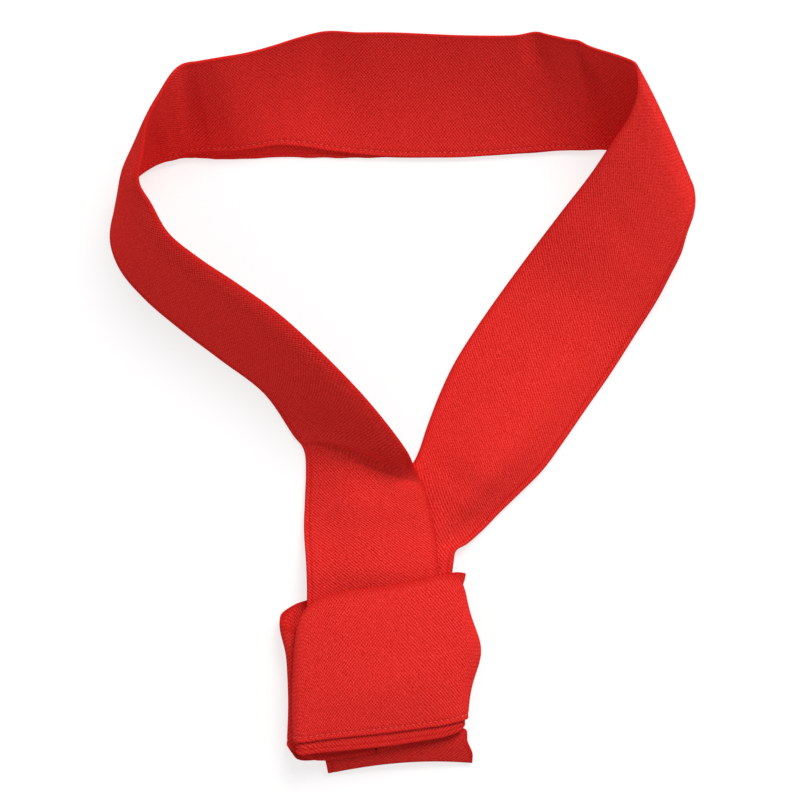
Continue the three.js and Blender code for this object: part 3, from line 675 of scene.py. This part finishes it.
knotUnderwrap = {
    **thinCloth,
    # Painted shade: the under-wrap is darkened as it lies in the knot's shade
    "paintedShade": 0.92,
    "stepsPerRow": 8,
    "dents": [
        # Bulges at the top ends of the right and the left fold
        [5.0, 1.0, 1.1, 0.09, 0.0, -2.6],
        [13.1, 0.94, 1.0, 0.14, 0.0, -2.4],
    ],
    "ribs": [[0, 0.5]],
    "rows": [
        # Front pass, under the wrap's panel
        [-10.4, -147.6, 9.2, -10.4, -83.0, underFrontLevel + 0.4, -0.8, 0.0, 0.0, 0.6],
        [-2.0, -144.6, 9.2, -2.0, -79.6, underFrontLevel + 0.4, -0.8, 0.0, 0.0, 0.6],
        [8.0, -142.0, 9.2, 8.0, -76.5, underFrontLevel + 0.3, -0.8, 0.0, 0.0, 0.6],
        [16.4, -138.4, 9.0, 16.8, -73.4, underFrontLevel + 0.2, -0.7, 0.0, 0.0, 0.6],
        # Right fold, whose top end sticks out beside the wrap
        [21.0, -137.0, 8.3, 22.6, -72.0, 10.0, -0.5, 0.0, 0.0, 0.6],
        [22.2, -136.6, 6.4, 24.2, -72.6, 7.4, -0.5, 0.0, 0.0, 0.6],
        [21.0, -137.0, 4.5, 22.6, -73.4, 4.7, -0.3, 0.0, 0.0, 0.6],
        [16.0, -139.0, underBackLevel, 17.2, -73.4, underBackLevel, 0.0, 0.0, 0.0, 0.6],
        # Back pass
        [11.0, -141.0, underBackLevel, 11.4, -74.6, underBackLevel, 0.0, 0.0, 0.0, 0.6],
        [0.0, -143.6, underBackLevel, 0.0, -77.0, underBackLevel, 0.0, 0.0, 0.0, 0.6],
        [-18.0, -146.8, underBackLevel, -18.0, -79.5, underBackLevel, 0.0, 0.0, 0.0, 0.6],
        [-38.0, -151.2, underBackLevel, -39.6, -84.2, underBackLevel, 0.0, 0.0, 0.0, 0.6],
        # Left fold, an open loop that bulges at its top end
        [-44.6, -150.4, underBackLevel + 0.8, -46.2, -86.8, underBackLevel - 0.6, -0.1, 0.0, 0.0, 0.6],
        [-47.6, -145.2, 6.6, -48.8, -90.2, 5.8, 1.2, 0.0, 0.1, 0.6],
        [-44.6, -147.8, 8.6, -47.2, -95.8, 10.8, -0.2, 0.0, 0.1, 0.6],
        # Front pass again, up to the first one
        [-37.0, -150.6, 9.1, -38.6, -94.5, underFrontLevel + 0.2, -0.8, 0.0, 0.0, 0.6],
        [-24.0, -150.0, 9.2, -24.0, -90.0, underFrontLevel + 0.4, -0.8, 0.0, 0.0, 0.6],
        [-11.0, -147.8, 9.2, -11.0, -83.4, underFrontLevel + 0.4, -0.8, 0.0, 0.0, 0.6],
    ],
}

tailEnd = {
    **doubleCloth,
    # Painted shade: the tail is darkened as it lies in the knot's shadow
    "paintedShade": 0.84,
    "stepsPerRow": 8,
    "dents": [],
    "ribs": [[0, 0.5]],
    "rows": [
        # From the tip, close over the surface, up into the knot
        [-30.0, -157.0, 1.6, 30.1, -153.4, 1.4, 0.0, 0.0, 0.0, 0.8, 3.2],
        [-30.5, -153.8, 4.6, 30.1, -149.2, 3.5, 0.0, 0.0, 0.0, 0.8, 2.2],
        [-31.2, -150.4, 6.5, 28.0, -143.8, 5.9, 0.0, 0.0, 0.0, 0.8, 1.0],
        [-32.0, -145.4, 6.5, 27.2, -138.7, 6.5, 0.0, 0.0, 0.0, 0.8, 0.2],
        [-32.6, -137.0, 6.3, 18.4, -138.5, 6.4, 0.0, 0.0, 0.0, 0.8, 0.0],
        [-32.8, -126.0, 6.3, 17.6, -128.0, 6.3, 0.0, 0.0, 0.0, 0.8, 0.0],
        [-33.0, -103.0, 6.3, 17.8, -103.0, 6.3, 0.0, 0.0, 0.0, 0.8, 0.0],
    ],
}

# Name, the node that it stands for, its table, and its cut size in metres
strips = [
    ("band_cloth", "neck_band", neckBand, (0.111, 0.72)),
    ("wrap_cloth", "knot_wrap", knotWrap, (0.123, 0.172)),
    ("underwrap_cloth", "knot_underwrap", knotUnderwrap, (0.128, 0.155)),
    ("tail_cloth", "tail_end", tailEnd, (0.110, 0.053)),
]
forms = {}
for name, nodeName, strip, flat in strips:
    piece, form = foldedStrip(name, strip["rows"], strip)
    piece.data.materials.append(redCloth)
    forms[name] = (piece, form)
    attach(piece, "root")
    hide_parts(nodeName)
print("cloth laid")

for name in ("band_cloth", "wrap_cloth"):
    line, outward = seamLine(forms[name][1], doubleCloth["seamIn"])
    stitches = stitchRow(name.replace("cloth", "stitches"), line, outward, stitchSpec)
    stitches.data.materials.append(redThread)
    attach(stitches, "root")
print("hems stitched")

# Pale floor, a wide flat sheet just under the cloth
floorLook = {
    "size": 6.0,
    "drop": 0.0002,
    "colour": (0.30, 0.30, 0.30, 1),
    "glow": 0.72,
    "roughness": 0.9,
    "specular": 0.1,
}
floorMesh = bpy.data.meshes.new("floor")
reach = floorLook["size"] / 2
corners = ((-reach, -reach), (reach, -reach), (reach, reach), (-reach, reach))
floorMesh.from_pydata([(x, y, -floorLook["drop"]) for x, y in corners], [], [(0, 1, 2, 3)])
floor = bpy.data.objects.new("floor", floorMesh)
bpy.context.scene.collection.objects.link(floor)
floorMaterial, floorTree, floorShader = newMaterial("pale_floor")
floorShader.inputs["Base Color"].default_value = floorLook["colour"]
floorShader.inputs["Emission Color"].default_value = (1, 1, 1, 1)
floorShader.inputs["Emission Strength"].default_value = floorLook["glow"]
floorShader.inputs["Roughness"].default_value = floorLook["roughness"]
floorShader.inputs["Specular IOR Level"].default_value = floorLook["specular"]
floorMesh.materials.append(floorMaterial)

for name, nodeName, strip, flat in strips:
    piece = forms[name][0]


# An area light that looks at the middle of the neckerchief
def areaLight(name, place, size, power, colour):
    light = bpy.data.lights.new(name, "AREA")
    light.shape = "DISK"
    light.size = size
    light.energy = power
    light.color = colour
    lamp = bpy.data.objects.new(name, light)
    bpy.context.scene.collection.objects.link(lamp)
    x, y, z = place
    lamp.location = place
    lamp.rotation_euler = (np.arctan2(np.hypot(x, y), z), 0, np.arctan2(x, -y))


# A soft key from the upper right, with even light from all round
lightLook = {
    "place": (0.88, 1.95, 2.42),
    "size": 1.6,
    "power": 92.0,
    "colour": (1.0, 0.985, 0.97),
    "air": 0.45,
}
areaLight("key_light", lightLook["place"], lightLook["size"], lightLook["power"], lightLook["colour"])
world = bpy.data.worlds.new("studio_air")
bpy.context.scene.world = world
world.use_nodes = True
airShader = world.node_tree.nodes["Background"]
airShader.inputs["Color"].default_value = (1, 1, 1, 1)
airShader.inputs["Strength"].default_value = lightLook["air"]
print("lights set")

# The photograph looks straight down from about 1.2 m, 341.7 mm of the surface across the frame
cameraView = {"distance": 1.2, "across": 0.3417, "aim": (0.00016, 0.00107), "sensor": 36.0}
cameraData = bpy.data.cameras.new("camera")
cameraData.sensor_width = cameraView["sensor"]
cameraData.lens = cameraView["sensor"] * cameraView["distance"] / cameraView["across"]
camera = bpy.data.objects.new("camera", cameraData)
camera.location = (*cameraView["aim"], cameraView["distance"])
bpy.context.scene.collection.objects.link(camera)
bpy.context.scene.camera = camera
bpy.context.scene.view_settings.view_transform = "Standard"
print("camera set")
